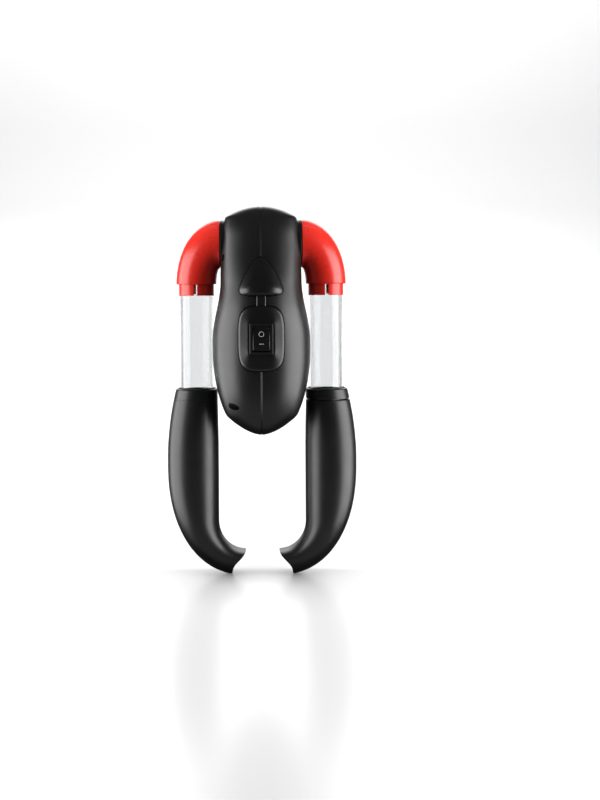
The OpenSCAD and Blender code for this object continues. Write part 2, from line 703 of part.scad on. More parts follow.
function straight_loop(z, inset) =
    nozzle_loop([nozzle_inner_x(z), z], [nozzle_outer_x(z), z], nozzle_wide(z), 2, inset);
function straight_z(top, k) = top + (bend_z - top) * k / straight_steps;
function bend_loop(s, inset) = let (
        a = 90 * s,
        b = first_turn + (last_turn - first_turn) * s,
        inner = [inner_c[0] + inner_r[0] * cos(a), inner_c[1] - inner_r[1] * sin(a)],
        outer = [outer_c[0] + outer_r[0] * pow(cos(b), 2 / outer_p),
            outer_c[1] - outer_r[1] * pow(sin(b), 2 / outer_p)],
        wide = nozzle_half_y + (mouth_half_y - nozzle_half_y) * s
    ) nozzle_loop(inner, outer, wide, 2 + 0.8 * s, inset, mouth_cut * max(0, s * 5 - 4));

module nozzle(gap) {
    top = nozzle_top - collar_h - gap;
    outside = concat(
        [for (k = [0 : straight_steps]) straight_loop(straight_z(top, k), 0)],
        [for (k = [1 : bend_steps]) bend_loop(k / bend_steps, 0)]);
    inside = concat(
        [for (k = [bend_steps : -1 : 1]) bend_loop(k / bend_steps, nozzle_wall)],
        [for (k = [straight_steps : -1 : 0]) straight_loop(straight_z(top, k), nozzle_wall)]);
    color([0.12, 0.12, 0.13]) skin_torus(concat(outside, inside));
}

// The upper end of the nozzle, with the bore that slides on the tube.
module nozzle_collar() {
    color([0.12, 0.12, 0.13]) difference() {
        union() {
            collar_skin();
            rod_z(tube_end + 2.5, nozzle_top - collar_h + 0.5, 12.35, arm_x);
        }
        rod_z(tube_end, nozzle_top + 1, tube_r + 0.07, arm_x);
        rod_z(nozzle_top - 1.6, nozzle_top + 1, 13, arm_x);
    }
}

module collar_skin() {
    low = nozzle_top - collar_h;
    skin_closed([
        straight_loop(nozzle_top, 0.6), straight_loop(nozzle_top - 0.6, 0), straight_loop(nozzle_top - 3, 0),
        straight_loop(low, 0)],
        [arm_x, 0, nozzle_top], [arm_x + 1, 0, low]);
}

module nozzle_seal() {
    color([0.04, 0.04, 0.04]) difference() {
        rod_z(nozzle_top - 1.6, nozzle_top + 0.7, 12.95, arm_x);
        rod_z(nozzle_top - 2, nozzle_top + 2, tube_r + 0.06, arm_x);
    }
}

// The right-hand nozzle's collar stands a little off, which leaves a groove round it.
collar_gap_left = 0.1;
collar_gap_right = 0.8;

// ---- the arms' pieces on both sides ---------------------------------------------------------------
module left_swivel_ring() on_side(-1) swivel_ring();
module left_elbow() on_side(-1) elbow();
module left_elbow_seal() on_side(-1) elbow_seal();
module left_tube() on_side(-1) tube();
module left_tube_stop() on_side(-1) tube_stop();
module left_nozzle_collar() on_side(-1) nozzle_collar();
module left_nozzle_seal() on_side(-1) nozzle_seal();
module left_nozzle() on_side(-1) nozzle(collar_gap_left);
module right_swivel_ring() on_side(1) swivel_ring();
module right_elbow() on_side(1) elbow();
module right_elbow_seal() on_side(1) elbow_seal();
module right_tube() on_side(1) tube();
module right_tube_stop() on_side(1) tube_stop();
module right_nozzle_collar() on_side(1) nozzle_collar();
module right_nozzle_seal() on_side(1) nozzle_seal();
module right_nozzle() on_side(1) nozzle(collar_gap_right);

left_housing();
right_housing();
hood_cap();
switch_panel();
switch_body();
switch_rocker();
switch_terminals();
housing_screws();
blower_casing();
blower_cover();
motor();
motor_shaft();
impeller();
motor_screws();
air_duct();
heater_frame();
heater_element();
thermostat();
thermal_fuse();
control_board();
power_inlet();
inlet_pins();
wiring();
left_swivel_ring();
left_elbow();
left_elbow_seal();
left_tube();
left_tube_stop();
left_nozzle_collar();
left_nozzle_seal();
left_nozzle();
right_swivel_ring();
right_elbow();
right_elbow_seal();
right_tube();
right_tube_stop();
right_nozzle_collar();
right_nozzle_seal();
right_nozzle();
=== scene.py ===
"""Boot dryer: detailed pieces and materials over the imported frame. Shapes are worked out in
millimetres, +Z up with the front facing -Y, and turned into metres when a mesh is made."""
import bpy
import bmesh
import json
import math
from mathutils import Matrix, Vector


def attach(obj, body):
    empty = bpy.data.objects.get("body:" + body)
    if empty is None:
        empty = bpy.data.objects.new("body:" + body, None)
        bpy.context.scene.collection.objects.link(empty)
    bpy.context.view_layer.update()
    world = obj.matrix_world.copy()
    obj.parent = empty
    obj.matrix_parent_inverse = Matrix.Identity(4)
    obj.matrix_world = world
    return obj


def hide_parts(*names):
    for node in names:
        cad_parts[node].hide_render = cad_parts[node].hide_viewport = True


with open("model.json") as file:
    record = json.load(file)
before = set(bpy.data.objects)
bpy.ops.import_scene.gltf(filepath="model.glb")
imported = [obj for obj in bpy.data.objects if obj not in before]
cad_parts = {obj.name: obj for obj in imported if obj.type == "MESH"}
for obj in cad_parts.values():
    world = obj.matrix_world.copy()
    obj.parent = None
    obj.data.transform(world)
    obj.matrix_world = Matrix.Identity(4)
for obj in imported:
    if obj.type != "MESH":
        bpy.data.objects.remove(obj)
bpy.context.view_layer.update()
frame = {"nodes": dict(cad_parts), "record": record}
nodes = frame["nodes"]
MM = 0.001
SIDES = (("left", -1), ("right", 1))


# ---- shape helpers ------------------------------------------------------------------------
def smooth(t):
    t = max(0.0, min(1.0, t))
    return t * t * (3 - 2 * t)


def lerp(a, b, t):
    return a + (b - a) * t


def signed_power(v, p):
    return math.copysign(abs(v) ** p, v)


def soft_min(a, b, radius):
    """The smaller of two lengths, with the corner between them rounded."""
    h = max(0.0, min(1.0, 0.5 + 0.5 * (b - a) / radius))
    return lerp(b, a, h) - radius * h * (1 - h)


def make_mesh(name, points, faces, sharp_angle=35):
    mesh = bpy.data.meshes.new(name)
    mesh.from_pydata([(x * MM, y * MM, z * MM) for x, y, z in points], [], faces)
    obj = bpy.data.objects.new(name, mesh)
    bpy.context.scene.collection.objects.link(obj)
    work = bmesh.new()
    work.from_mesh(mesh)
    bmesh.ops.remove_doubles(work, verts=work.verts, dist=1e-6)
    bmesh.ops.dissolve_degenerate(work, dist=1e-7, edges=work.edges)
    bmesh.ops.recalc_face_normals(work, faces=work.faces)
    work.to_mesh(mesh)
    work.free()
    shade(obj, sharp_angle)
    return obj


def shade(obj, sharp_angle=35):
    """Smooth shading, with edges sharper than the angle kept crisp."""
    mesh = obj.data
    mesh.shade_smooth()
    work = bmesh.new()
    work.from_mesh(mesh)
    limit = math.radians(sharp_angle)
    for edge in work.edges:
        edge.smooth = len(edge.link_faces) == 2 and edge.calc_face_angle(0) < limit
    work.to_mesh(mesh)
    work.free()


def grid_faces(rows, columns, start=0, wrap_rows=False, wrap_columns=True):
    faces = []
    for i in range(rows if wrap_rows else rows - 1):
        for j in range(columns if wrap_columns else columns - 1):
            a, b = i * columns, (i + 1) % rows * columns
            k = (j + 1) % columns
            faces.append((start + a + j, start + a + k, start + b + k, start + b + j))
    return faces


def loft(name, loops, cap_first=False, cap_last=False, ring=False, sharp_angle=35):
    """A skin through closed loops of points; ring joins the last loop to the first."""
    rows, columns = len(loops), len(loops[0])
    faces = grid_faces(rows, columns, wrap_rows=ring)
    if cap_first:
        faces.append(tuple(range(columns))[::-1])
    if cap_last:
        faces.append(tuple(range((rows - 1) * columns, rows * columns)))
    return make_mesh(name, [p for loop in loops for p in loop], faces, sharp_angle)


def turned(name, outline, axis, centre, steps=96, sharp_angle=35):
    """A closed outline of (radius, height) turned about an axis through the centre."""
    loops = []
    for i in range(steps):
        a = 2 * math.pi * i / steps
        c, s = math.cos(a), math.sin(a)
        spin = {"x": lambda r, h: (h, r * c, r * s), "y": lambda r, h: (r * s, h, r * c),
                "z": lambda r, h: (r * c, r * s, h)}[axis]
        loops.append([tuple(u + v for u, v in zip(centre, spin(r, h))) for r, h in outline])
    return loft(name, loops, ring=True, sharp_angle=sharp_angle)


def ring_outline(inner, outer, low, high, edge):
    """A rectangle in (radius, height) with rounded corners."""
    return rounded_outline([(outer, low), (outer, high), (inner, high), (inner, low)], edge)


def rounded_outline(corners, edge, steps=3):
    """Rounds each corner of a closed outline with a short arc of about the edge radius."""
    points = []
    count = len(corners)
    for i, corner in enumerate(corners):
        here = Vector(corner)
        before = (Vector(corners[i - 1]) - here).normalized()
        after = (Vector(corners[(i + 1) % count]) - here).normalized()
        for k in range(steps + 1):
            t = k / steps
            start, end = here + before * edge, here + after * edge
            points.append(tuple((1 - t) ** 2 * start + 2 * t * (1 - t) * here + t * t * end))
    return points


def box_mesh(name, low, high, edge=0.0, segments=2):
    """A block with bevelled edges."""
    (x0, y0, z0), (x1, y1, z1) = low, high
    points = [(x, y, z) for z in (z0, z1) for y in (y0, y1) for x in (x0, x1)]
    faces = [(0, 2, 3, 1), (4, 5, 7, 6), (0, 1, 5, 4), (2, 6, 7, 3), (0, 4, 6, 2), (1, 3, 7, 5)]
    obj = make_mesh(name, points, faces)
    if edge:
        bevel(obj, edge, segments)
    return obj


def apply_modifiers(obj):
    depsgraph = bpy.context.evaluated_depsgraph_get()
    mesh = bpy.data.meshes.new_from_object(obj.evaluated_get(depsgraph))
    obj.modifiers.clear()
    obj.data = mesh


def bevel(obj, width, segments=2, angle=40):
    modifier = obj.modifiers.new("bevel", "BEVEL")
    modifier.width = width * MM
    modifier.segments = segments
    modifier.limit_method = "ANGLE"
    modifier.angle_limit = math.radians(angle)
    apply_modifiers(obj)
    shade(obj)


def combine(obj, others, operation="DIFFERENCE"):
    """Cuts the other objects from obj, or joins them to it, and removes them."""
    for other in others:
        modifier = obj.modifiers.new("combine", "BOOLEAN")
        modifier.object = other
        modifier.operation = operation
        modifier.solver = "EXACT"
        apply_modifiers(obj)
        bpy.data.objects.remove(other)
    shade(obj)
    return obj


def rod(name, axis, radius, start, end, centre, steps=48):
    """A plain round cutter or boss along an axis, between two heights."""
    return turned(name, [(0.0, start), (radius, start), (radius, end), (0.0, end)], axis, centre, steps)


# ---- housing --------------------------------------------------------------------------------
HOUSING_TOP = 255.2
HOUSING_H = 156.6
HOUSING_BOTTOM = HOUSING_TOP - HOUSING_H
MID_Z = (HOUSING_TOP + HOUSING_BOTTOM) / 2
HALF_H = HOUSING_H / 2
HALF_W = 33.4
WALL = 2.2
FRONT_DEPTH = 27
BACK_Y = 21
BACK_FLAT_Y = 18.2
BELT_LOW_Y = -19
BELT_HIGH_Y = -8
TOP_CORNER_Z = 247.9
TOP_CROWN_R = 45
BOTTOM_CORNER_Z = 111.6
BOTTOM_CROWN_P = 0.58
BELLY_Z = 157
BELLY_B = 65.6
NECK_HALF_W = 27.9
NECK_Z = 198
NECK_DROP = 2.2
NECK_RISE = 45
WAIST_Z = 203
WAIST_H = 40
BELT_TURN_Z = 175
BELT_TURN_H = 60
BACK_TURN_Z = 190
BACK_TURN_H = 30
FRONT_N = 2.05
SWIVEL_Z = 229.8
CORNER_ROUND = 1.0


def ellipse_w(t, p):
    return max(0.0, 1 - abs(t) ** p) ** (1 / p)


def side_w(z):
    if z < BELLY_Z:
        return HALF_W * math.sqrt(max(0.0, 1 - ((BELLY_Z - z) / BELLY_B) ** 2))
    return (NECK_HALF_W - NECK_DROP * (max(0, z - NECK_Z) / NECK_RISE) ** 4
            + (HALF_W - NECK_HALF_W) * smooth((WAIST_Z - z) / WAIST_H))


def crown_w(z):
    if z > TOP_CORNER_Z - 6:
        return math.sqrt(max(0.0, TOP_CROWN_R ** 2 - (z - HOUSING_TOP + TOP_CROWN_R) ** 2))
    if z < BOTTOM_CORNER_Z + 3:
        share = max(0.0, z - HOUSING_BOTTOM) / (BOTTOM_CORNER_Z - HOUSING_BOTTOM)
        return side_w(BOTTOM_CORNER_Z) * share ** BOTTOM_CROWN_P
    return 1000


def half_w(z):
    return max(0.0, soft_min(side_w(z), crown_w(z), CORNER_ROUND))


def belt_y(z):
    return BELT_LOW_Y + (BELT_HIGH_Y - BELT_LOW_Y) * smooth((z - BELT_TURN_Z) / BELT_TURN_H)


def front_d(z):
    return FRONT_DEPTH * ellipse_w((z - MID_Z) / HALF_H, 2.4)


def back_d(z):
    return (BACK_Y - belt_y(z)) * ellipse_w((z - MID_Z) / HALF_H, 3.4)


def back_n(z):
    return 1.75 + 1.65 * smooth((z - BACK_TURN_Z) / BACK_TURN_H)


def front_y(x, z):
    return belt_y(z) - front_d(z) * ellipse_w(min(1, abs(x) / max(0.01, half_w(z))), FRONT_N)


def section_point(z, a, inset):
    """A point of the half section at height z: a runs from 0 at the front seam to pi at the back."""
    front = a <= math.pi / 2
    p = FRONT_N if front else back_n(z)
    d = max(0.3, (front_d(z) if front else back_d(z)) - inset)
    w = max(0.02, half_w(z) - inset)
    s, c = abs(math.sin(a)) ** (2 / p), abs(math.cos(a)) ** (2 / p)
    y = min(BACK_FLAT_Y - inset, belt_y(z) + (-c if front else c) * d)
    return Vector((w * s, y, MID_Z + (z - MID_Z) * (1 - inset / HALF_H)))


SEAM_DEPTH = 0.45
SEAM_HALF = 0.5
CAP_LEVELS = 16
BODY_LEVELS = 84


def housing_levels():
    """Heights of the sections, closer together towards both ends."""
    def eased(k):
        return 1 - math.cos(math.pi / 2 * k / CAP_LEVELS)

    def body_share(k):
        return lerp(k / BODY_LEVELS, (1 - math.cos(math.pi * k / BODY_LEVELS)) / 2, 0.45)
    low_h = BOTTOM_CORNER_Z - HOUSING_BOTTOM
    high_h = HOUSING_TOP - TOP_CORNER_Z
    span = TOP_CORNER_Z - BOTTOM_CORNER_Z
    low_cap = [HOUSING_BOTTOM + low_h * eased(k) for k in range(1, CAP_LEVELS + 1)]
    body = [BOTTOM_CORNER_Z + span * body_share(k) for k in range(1, BODY_LEVELS)]
    high_cap = [HOUSING_TOP - high_h * eased(k) for k in range(CAP_LEVELS, 0, -1)]
    return low_cap + body + high_cap


def housing_half(name, side):
    """One half of the shell as an outer and an inner skin, with a V groove along the seam."""
    seam_angles = [0, 0.35, 0.7, 1.1, 1.6, 2.4]
    flank_angles = [4 + 172 * k / 60 for k in range(61)]
    angles = seam_angles + flank_angles + [180 - a for a in seam_angles[::-1]]
    levels = housing_levels()
    columns = len(angles)

    def skin(inset):
        return [[section_point(z, math.radians(a), inset) for a in angles] for z in levels]
    outer, inner = skin(0.0), skin(WALL)
    grooved = []
    for i, row in enumerate(outer):
        above, below = outer[min(i + 1, len(outer) - 1)], outer[max(i - 1, 0)]
        new_row = []
        for j, point in enumerate(row):
            depth = SEAM_DEPTH * max(0.0, 1 - abs(point.x) / SEAM_HALF)
            if depth:
                along = row[min(j + 1, columns - 1)] - row[max(j - 1, 0)]
                normal = along.cross(above[j] - below[j])
                normal.x = 0
                if normal.length > 1e-9:
                    point = point - normal.normalized() * depth
            new_row.append(point)
        grooved.append(new_row)
    rows = len(levels)
    points = [p for row in grooved for p in row] + [p for row in inner for p in row]
    inner_start = rows * columns
    faces = grid_faces(rows, columns, 0, False, False)
    faces += [f[::-1] for f in grid_faces(rows, columns, inner_start, False, False)]
    for j in (0, columns - 1):
        for i in range(rows - 1):
            a, b = i * columns + j, (i + 1) * columns + j
            quad = (a, b, b + inner_start, a + inner_start)
            faces.append(quad if j == 0 else quad[::-1])
    # poles, below and above
    for row, z, flip in ((0, HOUSING_BOTTOM, False), (rows - 1, HOUSING_TOP, True)):
        sign = 1 if z == HOUSING_BOTTOM else -1
        tip = len(points)
        points.append(Vector((0, belt_y(z), z + sign * SEAM_DEPTH)))
        points.append(Vector((0, belt_y(z), MID_Z + (z - MID_Z) * (1 - WALL / HALF_H))))
        for j in range(columns - 1):
            a = row * columns + j
            fan = (tip, a, a + 1)
            faces.append(fan[::-1] if flip else fan)
            fan = (tip + 1, inner_start + a + 1, inner_start + a)
            faces.append(fan[::-1] if flip else fan)
        for j, turn in ((0, flip), (columns - 1, not flip)):
            a = row * columns + j
            quad = (tip, tip + 1, inner_start + a, a)
            faces.append(quad[::-1] if turn else quad)
    points = [(p[0] * side, p[1], p[2]) for p in points]
    return make_mesh(name, points, faces)


# ---- outlines on the front ---------------------------------------------------------------------
PANEL_C = 165
PANEL_HALF = (15.35, 21.7)
PANEL_FACE_Y = -48.2
PANEL_LIFT = 2.8
HOOD_TOP = 219.3
HOOD_H = 26.3
HOOD_C = 203
NECK_HALF = 3
TRIM_GAP = 0.35
PANEL_POWER = 3.6
BEZEL_POWER = 9
OUTLINE_STEPS = 120
OUTLINE_START = 1e-4


def panel_point(a, grow):
    c, s = math.cos(a), math.sin(a)
    return ((PANEL_HALF[0] + grow) * signed_power(c, 2 / PANEL_POWER),
            PANEL_C + (PANEL_HALF[1] + grow) * signed_power(s, 2 / PANEL_POWER))


def bezel_point(a, grow):
    return ((BEZEL[0] + grow) * signed_power(math.cos(a), 2 / BEZEL_POWER),
            PANEL_C + (BEZEL[1] + grow) * signed_power(math.sin(a), 2 / BEZEL_POWER))


def hood_point(a, grow):
    t = (1 - math.sin(a)) / 2
    half = 16.8 * t ** 0.58 * max(0.0, 1 - t ** 14) ** (1 / 3)
    x, z = math.copysign(half, math.cos(a)), HOOD_TOP - HOOD_H * t
    r = math.hypot(x, z - HOOD_C)
    return x * (1 + grow / r), HOOD_C + (z - HOOD_C) * (1 + grow / r)


def outline(point, grow):
    return [point(2 * math.pi * j / OUTLINE_STEPS + OUTLINE_START, grow) for j in range(OUTLINE_STEPS)]


def front_cutter(flat_outline):
    return loft("cut", [[(x, y, z) for x, z in flat_outline] for y in (-60, -20)], True, True)


# ---- switches and trims --------------------------------------------------------------------------
BEZEL = (7.7, 10.1)
BEZEL_LIFT = 1.2
PANEL_HOLE = (6.9, 9.2)
WELL = (5.75, 8.45)
WELL_FLOOR_Y = -39.5
ROCKER_TILT = 9
ROCKER_REACH = 8.15
ROCKER_HALF_W = 5.5
PIVOT_Y = -46.6
HOOD_RIM_LIFT = 0.25


def hood_cap():
    """The domed cap: a sunk skirt, then loops drawn in step by step to the middle."""
    flat = outline(hood_point, 0)

    def rise(z, s):
        return 0.9 + 4.2 * (1 - s ** 4) * (0.35 + 0.65 * (HOOD_TOP - z) / HOOD_H)
    loops = [[(x * s, front_y(x * s, z) + depth, HOOD_C + (z - HOOD_C) * s) for x, z in flat]
             for s, depth in ((0.97, 3.2), (1, 2.2))]
    loops.append([(x, front_y(x, z) - HOOD_RIM_LIFT, z) for x, z in flat])
    rim_steps = (0.995, 0.985, 0.97, 0.945, 0.91, 0.87, 0.82, 0.76)
    dome_steps = (0.7, 0.62, 0.54, 0.45, 0.36, 0.27, 0.18, 0.09)
    for s in rim_steps + dome_steps:
        edge = smooth((1 - s) / 0.03) ** 0.7
        ring = []
        for x, z in flat:
            x, z = x * s, HOOD_C + (z - HOOD_C) * s
            ring.append((x, front_y(x, z) - lerp(HOOD_RIM_LIFT, rise(z, s), edge), z))
        loops.append(ring)
    return loft("hood_cap_shell", loops, True, True)


def switch_panel():
    """The raised pad round the switch, with a softened rim, and the bridge up to the cap."""
    flat = outline(panel_point, 0)
    inner = outline(bezel_point, 1.0)
    loops = [[(x * 0.97, front_y(x, z) + 3.2, PANEL_C + (z - PANEL_C) * 0.97) for x, z in flat],
             [(x, front_y(x, z) + 1.8, z) for x, z in flat],
             [(x, front_y(x, z) - 0.3, z) for x, z in flat]]
    rim_end = 0.16
    for t, lift in ((0.015, 1.2), (0.04, 1.9), (0.08, 2.4), (rim_end, PANEL_LIFT)):
        loops.append([(lerp(x, u, t), front_y(x, z) - lift, lerp(z, w, t))
                      for (x, z), (u, w) in zip(flat, inner)])
    facets = 8
    for k in range(1, facets + 1):
        t = lerp(rim_end, 1, k / facets)
        loops.append([(lerp(x, u, t), lerp(front_y(x, z) - PANEL_LIFT, PANEL_FACE_Y, k / facets),
                       lerp(z, w, t)) for (x, z), (u, w) in zip(flat, inner)])
    loops.append([(u * 0.97, PANEL_FACE_Y, PANEL_C + (w - PANEL_C) * 0.97) for u, w in inner])
    panel = loft("panel", loops, True, True)
    neck_low_z, neck_high_z = 182.5, 193.2
    thick, chamfer, levels = 2.6, 0.35, 8
    sections = []
    for k in range(levels + 1):
        z = lerp(neck_low_z, neck_high_z, k / levels)
        y = front_y(0, z) - 0.75
        sections.append([
            (-NECK_HALF, y + thick, z), (NECK_HALF, y + thick, z), (NECK_HALF, y + chamfer, z),
            (NECK_HALF - chamfer, y, z), (-NECK_HALF + chamfer, y, z), (-NECK_HALF, y + chamfer, z)])
    combine(panel, [loft("neck", sections, True, True)], "UNION")
    combine(panel, [box_mesh("cut", (-PANEL_HOLE[0], -60, PANEL_C - PANEL_HOLE[1]),
                             (PANEL_HOLE[0], -30, PANEL_C + PANEL_HOLE[1]))])
    panel.name = "switch_panel_pad"
    return panel


def switch_frame():
    frame_body = box_mesh("frame_body", (-BEZEL[0], PANEL_FACE_Y - BEZEL_LIFT, PANEL_C - BEZEL[1]),
                          (BEZEL[0], PANEL_FACE_Y, PANEL_C + BEZEL[1]), 0.35, 3)
    stem = box_mesh("stem", (-6.8, PANEL_FACE_Y - 0.1, PANEL_C - 9.1), (6.8, -36, PANEL_C + 9.1))
    combine(frame_body, [stem], "UNION")
    well = box_mesh("well", (-WELL[0], -60, PANEL_C - WELL[1]), (WELL[0], WELL_FLOOR_Y, PANEL_C + WELL[1]),
                    0.25, 2)
    combine(frame_body, [well])
    frame_body.name = "switch_frame"
    return frame_body


def tilted(x, y, z):
    """From the rocker's own level position, its pivot at the origin, to its place at rest."""
    a = math.radians(-ROCKER_TILT)
    return (x, PIVOT_Y + y * math.cos(a) - z * math.sin(a), PANEL_C + y * math.sin(a) + z * math.cos(a))


def rocker_face_y(z):
    """Depth of the rocker's hollow face at a distance from its pivot."""
    return -3.0 - 0.7 * abs(z / 8.0) ** 1.8


def rocker():
    """The rocker: a hollow face, straight ends and a narrower back, drawn out along x."""
    steps = 26
    heights = [ROCKER_REACH * (2 * k / steps - 1) for k in range(steps + 1)]
    profile = [(rocker_face_y(z), z) for z in heights]
    profile += [(-0.6, 8.22), (3.2, 4.0), (3.2, -4.0), (-0.6, -8.22)]
    loops = []
    for x, inset in ((-ROCKER_HALF_W, 0.22), (-5.33, 0.0), (5.33, 0.0), (ROCKER_HALF_W, 0.22)):
        loops.append([tilted(x, y + (inset if y < 0 else 0), z * (1 - inset / 12)) for y, z in profile])
    body = loft("rocker_body", loops, True, True, sharp_angle=30)
    bevel(body, 0.18, 2, 50)
    body.name = "rocker_body"
    return body


def rocker_marks():
    """A ring and a short bar printed on the rocker's face."""
    lift, sunk = 0.04, 0.02
    steps, ring_z = 40, 2.65
    loops = []
    for k in range(steps):
        a = 2 * math.pi * k / steps
        ring = []
        for r, up in ((1.38, 0.0), (1.4, lift), (1.76, lift), (1.78, 0.0)):
            x, z = r * math.cos(a), ring_z + r * math.sin(a)
            ring.append(tilted(x, rocker_face_y(z) - up + sunk, z))
        loops.append(ring)
    ring = loft("rocker_ring_mark", loops, ring=True)
    bar = []
    for x in (-1.5, -0.75, 0, 0.75, 1.5):
        bar.append([tilted(x, rocker_face_y(z) - up + sunk, z)
                    for z, up in ((-4.1, 0.0), (-4.08, lift), (-3.62, lift), (-3.6, 0.0))])
    return [ring, loft("rocker_bar_mark", bar, True, True)]


# ---- arms, drawn for the right side ----------------------------------------------------------------
ARM_X = 45.2
ELBOW_FACE_X = 28.4
ELBOW_END_Z = 201.6
ELBOW_FACE_R = 16.8
ELBOW_END_R = 14.05
ELBOW_OUTER = (ARM_X - ELBOW_FACE_X + ELBOW_END_R, SWIVEL_Z - ELBOW_END_Z + ELBOW_FACE_R)
ELBOW_INNER = (ARM_X - ELBOW_FACE_X - ELBOW_END_R, SWIVEL_Z - ELBOW_END_Z - ELBOW_FACE_R)
ELBOW_DUCT_R = 10.2
SPIGOT_R = 12
COLLAR_Z = ELBOW_END_Z - 8
COLLAR_R = 12.25
TUBE_R = 11.3
TUBE_BORE_R = 10.1
TUBE_TOP = 205.5
NOZZLE_TOP = COLLAR_Z - 64.8
TUBE_END = NOZZLE_TOP - 18
RING_STEPS = 96
COLLAR_SLOT_HALF = 1.1
RING_SEAT_R = 15
BOSS_R = 16.5
BOSS_END_X = 26.8


def elbow_loop(a, radius=None, shrink=0.0):
    """A ring across the elbow: a runs from 0 at the housing to a quarter turn at the tube."""
    cx = ELBOW_FACE_X + (ELBOW_OUTER[0] + ELBOW_INNER[0]) / 2 * math.sin(a)
    cz = ELBOW_END_Z + (ELBOW_OUTER[1] + ELBOW_INNER[1]) / 2 * math.cos(a)
    vx = (ELBOW_OUTER[0] - ELBOW_INNER[0]) / 2 * math.sin(a)
    vz = (ELBOW_OUTER[1] - ELBOW_INNER[1]) / 2 * math.cos(a)
    size = math.hypot(vx, vz)
    long = (radius or size) - shrink
    wide = (radius or lerp(ELBOW_FACE_R, ELBOW_END_R, a / (math.pi / 2))) - shrink
    points = []
    for j in range(RING_STEPS):
        t = 2 * math.pi * j / RING_STEPS
        points.append((cx + long * math.cos(t) * vx / size, wide * math.sin(t),
                       cz + long * math.cos(t) * vz / size))
    return points


def flip_side(obj, side):
    """Mirrors a piece that is drawn for the right, if it goes on the left."""
    if side < 0:
        for v in obj.data.vertices:
            v.co.x = -v.co.x
        obj.data.flip_normals()
    return obj


def elbow(side, word):
    rings = 40
    quarter = math.pi / 2
    outer = [[(x + along, y, z) for x, y, z in elbow_loop(0, None, shrink)]
             for along, shrink in ((0.0, 0.7), (0.12, 0.3), (0.4, 0.05))]
    outer += [elbow_loop(quarter * k / rings) for k in range(1, rings)]
    outer += [[(x, y, z + 0.5) for x, y, z in elbow_loop(quarter)],
              [(x, y, z + 0.15) for x, y, z in elbow_loop(quarter, None, 0.15)],
              elbow_loop(quarter, None, 0.5)]
    inner = [elbow_loop(quarter * k / rings, ELBOW_DUCT_R) for k in range(rings, -1, -1)]
    bend = loft("elbow_bend", outer + inner, ring=True)
    collar = turned("collar", ring_outline(TUBE_R + 0.08, COLLAR_R, COLLAR_Z, ELBOW_END_Z + 1.4, 0.35),
                    "z", (ARM_X, 0, 0), RING_STEPS)
    combine(collar, [box_mesh("slot", (ARM_X - x, -y, COLLAR_Z - 1), (ARM_X + x, y, ELBOW_END_Z - 0.5))
                     for x, y in ((15, COLLAR_SLOT_HALF), (COLLAR_SLOT_HALF, 15))])
    bevel(collar, 0.25, 2, 60)
    snap_r, groove_r, spigot_end = 12.9, SPIGOT_R - 0.9, 28.9
    spigot_outline = rounded_outline([
        (ELBOW_DUCT_R, 20), (snap_r, 20), (snap_r, 21.2), (SPIGOT_R, 21.2), (SPIGOT_R, 24), (groove_r, 24),
        (groove_r, 25.2), (SPIGOT_R, 25.2), (SPIGOT_R, spigot_end), (ELBOW_DUCT_R, spigot_end)], 0.15)
    spigot = turned("spigot", spigot_outline, "x", (0, 0, SWIVEL_Z))
    return join(word + "_elbow_moulding", [bend, collar, spigot], side)


def join(name, parts, side=1):
    """One object from several meshes."""
    work = bmesh.new()
    for part in parts:
        work.from_mesh(part.data)
        bpy.data.objects.remove(part)
    mesh = bpy.data.meshes.new(name)
    work.to_mesh(mesh)
    work.free()
    obj = bpy.data.objects.new(name, mesh)
    bpy.context.scene.collection.objects.link(obj)
    shade(obj)
    return flip_side(obj, side)


def swivel_ring(side, word):
    recess_r, bore_r, face_x = 13.3, SPIGOT_R + 0.1, 28.15
    ring = rounded_outline([
        (recess_r, 19), (RING_SEAT_R, 19), (RING_SEAT_R, BOSS_END_X), (BOSS_R, BOSS_END_X),
        (BOSS_R, face_x), (bore_r, face_x), (bore_r, 21.5), (recess_r, 21.5)], 0.3)
    return flip_side(turned(word + "_swivel_collar", ring, "x", (0, 0, SWIVEL_Z)), side)


def clear_tube(side, word):
    wall = ring_outline(TUBE_BORE_R, TUBE_R, TUBE_END, TUBE_TOP, 0.4)
    return flip_side(turned(word + "_clear_tube", wall, "z", (ARM_X, 0, 0), 128), side)


BEND_Z = 36.5
BELLY_TOP_Z = 80
BULGE_X = 65.89
OUTER_C = (10.5, 76.1)
OUTER_R = (55.4, 77.1)
INNER_C = (11.5, 36.5)
INNER_R = (18.8, 20.6)
OUTER_P = 2.25
FIRST_TURN = 29.7
LAST_TURN = 80.5
NOZZLE_HALF_Y = 14.9
MOUTH_HALF_Y = 12.2
MOUTH_CUT = 1.9
NOZZLE_WALL = 1.5
COLLAR_H = 7.1
TOP_HALF_Y = 14.15
SEAT_R = 13
SEAT_DEPTH = 1.6


def nozzle_inner_x(z):
    return 30.3 + 0.5 * smooth((z - 90) / 38)


def nozzle_outer_x(z):
    if z > BELLY_TOP_Z:
        return BULGE_X - (z - BELLY_TOP_Z) ** 2 / 390
    if z > OUTER_C[1]:
        return BULGE_X
    return OUTER_C[0] + OUTER_R[0] * ellipse_w((OUTER_C[1] - z) / OUTER_R[1], OUTER_P)


def nozzle_wide(z):
    return TOP_HALF_Y + (NOZZLE_HALF_Y - TOP_HALF_Y) * smooth((NOZZLE_TOP - z) / 30)


